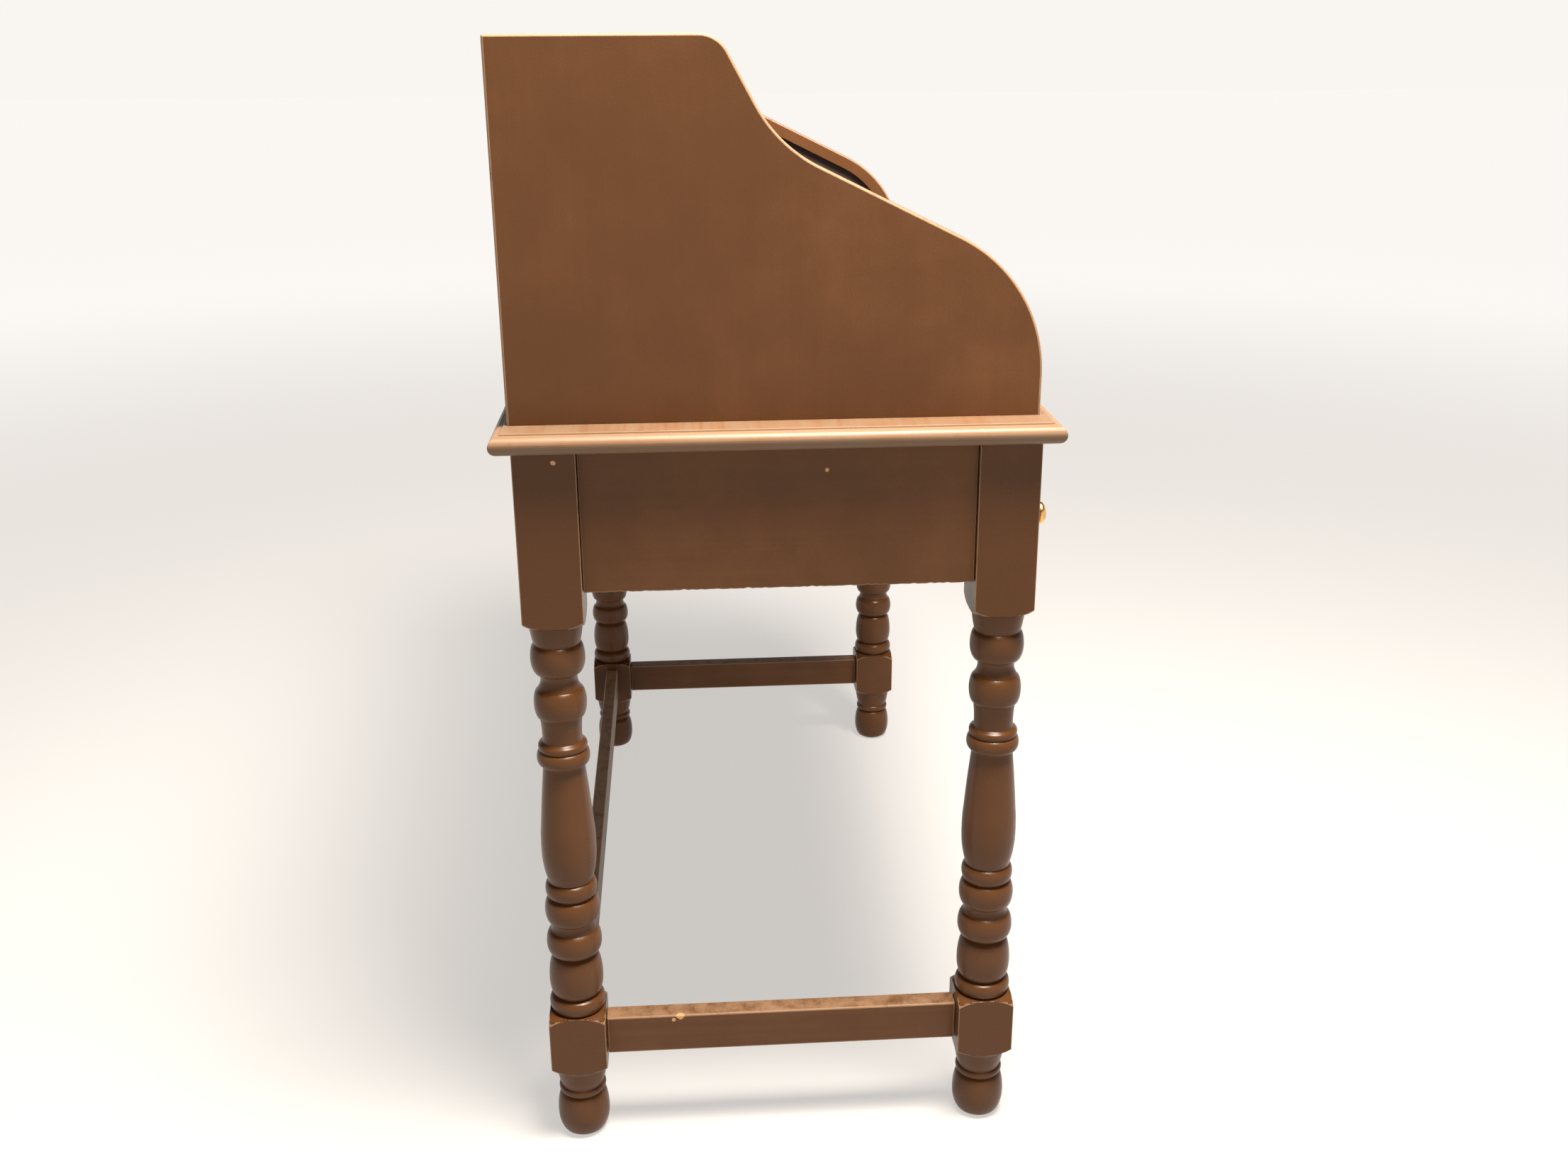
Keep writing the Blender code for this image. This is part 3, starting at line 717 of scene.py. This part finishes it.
def nose_profile(thick):
    """Inset and height of the desk top's edge, from the underside up: a full nose, then a
    small step in and an eased corner."""
    under = 0.0085            # radius of the nose's lower half
    waist = 0.0092            # height at which its upper half starts
    over, rise = 0.0095, 0.0080   # how far that goes in, and up
    profile = [(under + 0.0002, 0.0)]
    for i in range(10):
        a = math.pi / 2 * i / 9
        profile.append((under * (1 - math.sin(a)), under * (1 - math.cos(a))))
    for i in range(11):
        a = math.pi / 2 * i / 10
        profile.append((over * (1 - math.cos(a)), waist + rise * math.sin(a)))
    return profile + [(0.0098, 0.0173), (0.0100, thick - 0.0008), (0.0105, thick - 0.0002),
                      (0.0112, thick)]


def moulded_top(paints):
    """The desk top: a slab whose edge steps down from the top face into a rounded nose. The
    first paint is streaked along X and the second, for the two ends, along Y."""
    low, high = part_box("desk_top")
    half = (high - low) / 2
    profile = nose_profile(high.z - low.z)
    bm = bmesh.new()
    rim = [bm.verts.new((sx, sy, 0)) for sx, sy in ((-1, -1), (1, -1), (1, 1), (-1, 1))]
    ring = [bm.edges.new((rim[i], rim[(i + 1) % 4])) for i in range(4)]
    bmesh.ops.contextual_create(bm, geom=ring)
    for index, (inset, rise) in enumerate(profile):
        if index:
            grown = bmesh.ops.extrude_edge_only(bm, edges=ring)
            ring = [e for e in new_parts(grown, bmesh.types.BMEdge) if len(e.link_faces) == 1]
            rim = list({v for e in ring for v in e.verts})
        for v in rim:
            v.co = (math.copysign(half.x - inset, v.co.x), math.copysign(half.y - inset, v.co.y),
                    low.z + rise)
    bmesh.ops.contextual_create(bm, geom=ring)
    bmesh.ops.translate(bm, vec=(0, CENTRE_Y, 0), verts=bm.verts)
    # The nose's upward faces are marked for the pale paint: edge wear, and a painted highlight of
    # the light from above.
    mark_faces(bm, lambda face: float(0.25 < face.normal.z < FLAT))
    for face in bm.faces:
        face.material_index = 1 if abs(face.normal.x) > 0.02 else 0
    place_piece("desk_top_moulded", bm, paints, ["desk_top"], smooth=30)


def apron_piece(node, paint, radius):
    """A side apron, its lower edge left a little ragged by the brush. Waves of three lengths
    keep the line from repeating, and the upper rim of the easing moves half as far."""
    low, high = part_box(node)
    bm = box_mesh(low, high)
    eased(bm, bm.edges[:], radius, 2)
    lengthwise = [e for e in bm.edges if abs(e.verts[0].co.y - e.verts[1].co.y) > 0.2]
    bmesh.ops.subdivide_edges(bm, edges=lengthwise, cuts=90, use_grid_fill=True)
    for v in bm.verts:
        if v.co.z < low.z + 0.004:
            wave = math.sin(v.co.y * 310) * math.sin(v.co.y * 97 + 1.3) + math.sin(v.co.y * 741)
            share = 1 if v.co.z < low.z + 0.002 else 0.5
            v.co.z += RAGGED * max(-0.2, wave) * share
    place_piece(f"{node}_painted", bm, [paint], [node], wear_and_highlight=board_wear_and_highlight)


# ---- drawer, knobs and tambour --------------------------------------------------------
LIP_THICK = 0.011
LIP_WIDE = 0.007
TONGUE = 0.0062           # how much further a slat's ends reach than in the CAD
CLOTH_THICK = 0.0006
CLOTH_MARGIN = 0.012      # the cloth's edge, in from a slat's end in the CAD


def drawer_front(paint):
    """A lipped front: a rounded slab with a plug behind it that enters the opening."""
    low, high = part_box("drawer_front")
    bm = box_mesh(low, Vector((high.x, low.y + LIP_THICK, high.z)))
    nose = [e for e in bm.edges if all(abs(v.co.y - low.y) < SAME for v in e.verts)]
    eased(bm, nose, bpy.context.scene.desk_boards.drawer_easing, 6)
    rear = [f for f in bm.faces if f.normal.y > 0.9]
    bmesh.ops.inset_region(bm, faces=rear, thickness=LIP_WIDE, use_even_offset=True)
    rear = [f for f in bm.faces if f.normal.y > 0.9 and f.calc_area() > 0.03]
    extrude(bm, rear, (0, high.y - low.y - LIP_THICK, 0))
    bmesh.ops.delete(bm, geom=rear, context="FACES_ONLY")
    place_piece("drawer_front_painted", bm, [paint], ["drawer_front"],
                "drawer", wear_and_highlight=board_wear_and_highlight)


def turned_knob(node, brass):
    """A brass knob on a stepped rose, turned about the line out of the drawer."""
    low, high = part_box(node)
    reach = high.y - low.y
    wide = (high.z - low.z) / 2
    line = [(0.0, 0.0), (0.0084, 0.0), (0.0085, 0.0006), (0.0083, 0.0014), (0.0070, 0.0019),
            (0.0066, 0.0024), (0.0064, 0.0031), (0.0050, 0.0038)]
    line += eased_line([(0.0045, 0.0048), (0.0041, 0.0075), (0.0044, reach * 0.44),
                        (0.0054, reach * 0.50)], 5)
    line += rounded(reach * 0.515, reach - 0.0002, 0.0062, wide, 0.0, at=0.50, steps=18)
    bm = turned([(r, -y, 0) for r, y in line], (0, 1, 0), 48)
    middle = (low + high) / 2
    bmesh.ops.translate(bm, vec=(middle.x, high.y, middle.z), verts=bm.verts)
    place_piece(f"{node}_turned", bm, [brass], [node], "drawer")


def node_copy(node):
    """A CAD node's mesh as clean, large faces, ready to be shaped further."""
    bm = bmesh.new()
    bm.from_mesh(frame["nodes"][node].data)
    bmesh.ops.remove_doubles(bm, verts=bm.verts, dist=0.00001)
    bmesh.ops.dissolve_limit(bm, angle_limit=math.radians(1.5), verts=bm.verts, edges=bm.edges)
    bm.normal_update()
    return bm


def slat_piece(node, body, paint):
    """A slat with a rounded face, its ends drawn out into the grooves. The edges along it are
    rounded, but for the square ones at the cloth."""
    bm = node_copy(node)
    rounding = [e for e in bm.edges if abs(e.verts[0].co.x - e.verts[1].co.x) > 0.5
                and 0.12 < e.calc_face_angle(0) < 1.45]
    eased(bm, rounding, bpy.context.scene.desk_boards.slat_easing)
    for sx in (-1, 1):
        tips = [v for v in bm.verts if v.co.x * sx > 0]
        bmesh.ops.translate(bm, verts=tips, vec=(sx * TONGUE, 0, 0))
    place_piece(f"{node}_painted", bm, [paint], [node], body)


def cloth_strip(node, body, cloth):
    """The stretch of cloth behind one slat, a hair thick, from hinge line to hinge line."""
    low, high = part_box(node)
    start, end = slat_chord(node)
    along = (end - start).normalized()
    inward = Vector((0, along.z, -along.y))
    if inward.dot((start + end) - (low + high)) < 0:
        inward.negate()
    bm = bmesh.new()
    back = inward * CLOTH_THICK
    verts = [bm.verts.new((low.x + CLOTH_MARGIN, p.y, p.z))
             for p in (start, end, end + back, start + back)]
    bm.faces.new(verts)
    extrude(bm, bm.faces[:], (high.x - low.x - 2 * CLOTH_MARGIN, 0, 0))
    place_piece(f"{node}_cloth", bm, [cloth], [], body)


def slat_chord(node):
    """The slat's two corners on the cloth, frontmost first. Its back is its largest face."""
    bm = node_copy(node)
    back = max((f for f in bm.faces if abs(f.normal.x) < 0.1), key=lambda f: f.calc_area())
    ends = sorted({(round(v.co.y, 6), round(v.co.z, 6)) for v in back.verts})
    bm.free()
    return Vector((0, *ends[0])), Vector((0, *ends[-1]))


def lift_pull(node, brass):
    """A finger pull of the lift rail, with a casting's soft edges."""
    bm = node_copy(node)
    sharp = [e for e in bm.edges if e.calc_face_angle(0) > 0.3]
    eased(bm, sharp, bpy.context.scene.desk_metal.pull_easing, 4)
    place_piece(f"{node}_cast", bm, [brass], [node], "lift_rail")


# ---- operators ------------------------------------------------------------------------
GLOW_FADE = (1.2, 6.0)    # distances between which the floor goes from near to far glow
SKY_FADE = (0.10, 0.47)   # heights between which the sky goes from horizon to zenith
SKY_TINT = (1.0, 0.965, 0.93, 1)
VIEW_FROM = (-1.8251, 0.0839 + CENTRE_Y, 1.0857)
VIEW_RIGHT = Vector((-0.06738, -0.99771, -0.00543)).normalized()
VIEW_AHEAD = Vector((0.93902, -0.06158, -0.33830)).normalized()
LENS = 35.30              # millimetres, with a sensor 36 wide


class DESK_OT_stage(bpy.types.Operator):
    """Pale floor, soft overhead light and the camera"""
    bl_idname = "desk.stage"
    bl_label = "Stage"

    def execute(self, context):
        stage = context.scene.desk_stage
        g = Graph("floor_pale")
        grit = g.noise(40, 3.0)
        away = g.node("ShaderNodeVectorMath", {"operation": "LENGTH"}, g.place, output="Value")
        glow = g.mix(away.above(*GLOW_FADE), stage.glow_near, stage.glow_far)
        pale = g.finish(Base_Color=(*stage.floor, 1), Roughness=grit * 0.1 + 0.8,
                        Emission_Color=glow, Emission_Strength=1.0)
        bm = bmesh.new()
        bmesh.ops.create_grid(bm, x_segments=1, y_segments=1, size=30)
        floor = mesh_object("floor", bm, [pale])
        self.world(context, stage)
        context.scene.view_settings.view_transform = "Standard"
        self.lamp("overhead", stage.key_power, (-0.76, -0.30, 2.6), (-0.3, 0.0, 0.5), 0.8,
                  (1.0, 0.90, 0.79))
        self.lamp("side_fill", stage.fill_power, (-3.0, -1.9, 1.9), (0.0, 0.0, 0.6), 1.8,
                  (1.0, 0.95, 0.90))
        self.camera(context)
        return {"FINISHED"}

    def world(self, context, stage):
        """Pale all round the horizon and dim overhead, as in a studio with pale walls."""
        world = bpy.data.worlds.new("studio")
        world.use_nodes = True
        tree = world.node_tree
        sky = tree.nodes["Background"]
        sky.inputs["Color"].default_value = SKY_TINT
        toward = tree.nodes.new("ShaderNodeTexCoord")
        parts = tree.nodes.new("ShaderNodeSeparateXYZ")
        fade = tree.nodes.new("ShaderNodeMapRange")
        fade.interpolation_type = "SMOOTHSTEP"
        for name, value in (("From Min", SKY_FADE[0]), ("From Max", SKY_FADE[1]),
                            ("To Min", stage.horizon), ("To Max", stage.zenith)):
            fade.inputs[name].default_value = value
        tree.links.new(toward.outputs["Generated"], parts.inputs[0])
        tree.links.new(parts.outputs["Z"], fade.inputs["Value"])
        tree.links.new(fade.outputs["Result"], sky.inputs["Strength"])
        context.scene.world = world

    def lamp(self, name, power, place, target, size, tint):
        """A square light at a place, turned to its target."""
        light = bpy.data.lights.new(name, "AREA")
        light.energy = power
        light.size = size
        light.color = tint
        made = bpy.data.objects.new(name, light)
        made.location = place
        aim = Vector(target) - Vector(place)
        made.rotation_euler = aim.to_track_quat("-Z", "Y").to_euler()
        bpy.context.scene.collection.objects.link(made)

    def camera(self, context):
        """The view of the left-hand end, from a little above the desk."""
        lens = bpy.data.cameras.new("view")
        lens.sensor_width = 36
        lens.lens = LENS
        camera = bpy.data.objects.new("view", lens)
        up = VIEW_RIGHT.cross(VIEW_AHEAD).normalized()
        turn = Matrix((VIEW_RIGHT, up, -VIEW_AHEAD)).transposed().to_4x4()
        camera.matrix_world = Matrix.Translation(VIEW_FROM) @ turn
        context.scene.collection.objects.link(camera)
        context.scene.camera = camera


class DESK_OT_legs(bpy.types.Operator):
    """The four turned legs"""
    bl_idname = "desk.legs"
    bl_label = "Turned legs"

    def execute(self, context):
        # The legs' negative tone is painted shade: a darker copy of the paint the rest of the desk
        # has.
        paint = brown_paint("leg_paint", "z", gloss=0.17, streaks=0.15, wear_and_highlight_amount=0.40,
                            tone=-0.38, chips=[((-0.498, CENTRE_Y + 0.201, 0.7310), 0.0024)])
        for node in CORNERS:
            turned_leg(node, paint)
        return {"FINISHED"}


class DESK_OT_boards(bpy.types.Operator):
    """Aprons, rails and stretchers between the legs"""
    bl_idname = "desk.boards"
    bl_label = "Frame boards"

    def execute(self, context):
        easing = context.scene.desk_boards.easing
        # The negative tones of the aprons and stretchers are painted shade: darker copies of the
        # one paint.
        side = brown_paint("side_board_paint", "y", streaks=0.2, wear_and_highlight_amount=0.25, tone=-0.16,
                           chips=[((-0.4935, CENTRE_Y - 0.043, 0.7175), 0.0020)])
        knocks = [((-0.4800, CENTRE_Y + 0.105, 0.1365), 0.0045),
                  ((-0.4800, CENTRE_Y + 0.112, 0.1320), 0.0022)]
        rail = brown_paint("stretcher_paint", "y", streaks=0.5, gloss=0.04, wear_and_highlight_amount=0.45,
                           tone=-0.30, chips=knocks)
        long = brown_paint("long_board_paint", "x", streaks=0.7, wear_and_highlight_amount=0.45)
        # The back stretcher sits in the desk's shadow: its paint is made pale all over, on its
        # edges and on its top, as painted light.
        back_painted_light = brown_paint("back_stretcher_paint", "x", streaks=0.9, wear_and_highlight_amount=0.9, dry=1.0)
        for end, _ in SIDES:
            apron_piece(f"side_apron_{end}", side, easing)
            # The stretchers' tops get the pale paint as a painted highlight of the light from
            # above.
            board_piece(f"side_stretcher_{end}", rail, easing * 1.3,
                        top_highlight=0.8)
        board_piece("back_stretcher", back_painted_light, easing, top_highlight=0.85)
        for node in ("back_apron", "front_top_rail", "front_bottom_rail"):
            board_piece(node, long, easing)
        return {"FINISHED"}


class DESK_OT_top(bpy.types.Operator):
    """The moulded desk top"""
    bl_idname = "desk.top"
    bl_label = "Desk top"

    def execute(self, context):
        # The top's paint is greyed by painted sheen of the light from above; its small negative
        # tone is painted shade, and its nose's upward faces get pale paint.
        moulded_top([brown_paint(f"desk_top_paint_{along}", along, streaks=0.8, gloss=0.06,
                                 wear_and_highlight_amount=0.15, tone=-0.05, dry=0.55) for along in "xy"])
        return {"FINISHED"}


class DESK_OT_case(bpy.types.Operator):
    """Side panels, top and back of the case"""
    bl_idname = "desk.case"
    bl_label = "Case"

    def execute(self, context):
        # The panels' negative tone is painted shade: a darker copy of the one paint.
        panel = brown_paint("side_panel_paint", "z", streaks=0.12, wear_and_highlight_amount=0.50, tone=-0.18)
        # The grooves get the near-black groove colour: painted shade in their depth over bare dark
        # wood, with dust.
        dark = groove_shade_and_dust("groove_painted_shade_and_dust")
        for side, sx in SIDES:
            side_panel(side, sx, panel, dark)
        boards = brown_paint("case_board_paint", "x", streaks=0.35, wear_and_highlight_amount=0.45)
        case_top(boards)
        board_piece("case_back", boards, context.scene.desk_boards.case_easing)
        return {"FINISHED"}


class DESK_OT_drawer(bpy.types.Operator):
    """The drawer's painted front and brass knobs"""
    bl_idname = "desk.drawer"
    bl_label = "Drawer"

    def execute(self, context):
        drawer_front(brown_paint("drawer_front_paint", "x", streaks=0.4, wear_and_highlight_amount=0.30))
        brass = aged_brass("knob_brass")
        for side, _ in SIDES:
            turned_knob(f"drawer_knob_{side}", brass)
        return {"FINISHED"}


class DESK_OT_tambour(bpy.types.Operator):
    """The slats, their cloth backing and the lift rail"""
    bl_idname = "desk.tambour"
    bl_label = "Tambour"

    def execute(self, context):
        paint = brown_paint("slat_paint", "x", streaks=0.4, wear_and_highlight_amount=0.0)
        cloth = cloth_backing("tambour_cloth")
        brass = aged_brass("pull_brass")
        for body, nodes in frame["record"]["behaviour"]["bodies"].items():
            for node in nodes:
                if node.startswith("tambour_slat") or node == "lift_rail":
                    slat_piece(node, body, paint)
                    cloth_strip(node, body, cloth)
                elif node.startswith("lift_pull"):
                    lift_pull(node, brass)
        return {"FINISHED"}


class DESK_OT_inside(bpy.types.Operator):
    """Wood for the pigeonholes, drawer box and runners: all the nodes still showing"""
    bl_idname = "desk.inside"
    bl_label = "Inner wood"

    def execute(self, context):
        woods = {axis: inner_wood(f"inner_wood_{axis}", axis) for axis in "xyz"}
        for name, node in frame["nodes"].items():
            if node.hide_render:
                continue
            low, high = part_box(name)
            size = high - low
            longest = "xyz"[max(range(3), key=lambda i: size[i])]
            node.data.materials.clear()
            node.data.materials.append(woods[longest])
        return {"FINISHED"}


class DESK_PT_panel(bpy.types.Panel):
    """Lists the desk's pieces"""
    bl_label = "Roll top desk"
    bl_idname = "DESK_PT_panel"
    bl_space_type = "VIEW_3D"
    bl_region_type = "UI"
    bl_category = "Desk"

    def draw(self, context):
        for operator in OPERATORS:
            self.layout.operator(operator.bl_idname)


SETTINGS = {
    "desk_paint": DeskPaint,
    "desk_turning": DeskTurning,
    "desk_boards": DeskBoards,
    "desk_metal": DeskMetal,
    "desk_inside": DeskInside,
    "desk_stage": DeskStage,
}
OPERATORS = (DESK_OT_stage, DESK_OT_legs, DESK_OT_boards, DESK_OT_top, DESK_OT_case,
             DESK_OT_drawer, DESK_OT_tambour, DESK_OT_inside)


def register():
    for name, group in SETTINGS.items():
        bpy.utils.register_class(group)
        setattr(bpy.types.Scene, name, bpy.props.PointerProperty(type=group))
    for made in (*OPERATORS, DESK_PT_panel):
        bpy.utils.register_class(made)


def unregister():
    for made in reversed((*OPERATORS, DESK_PT_panel)):
        bpy.utils.unregister_class(made)
    for name, group in reversed(list(SETTINGS.items())):
        delattr(bpy.types.Scene, name)
        bpy.utils.unregister_class(group)


def main():
    register()
    for operator in OPERATORS:
        group, name = operator.bl_idname.split(".")
        getattr(getattr(bpy.ops, group), name)()


if __name__ == "__main__":
    main()
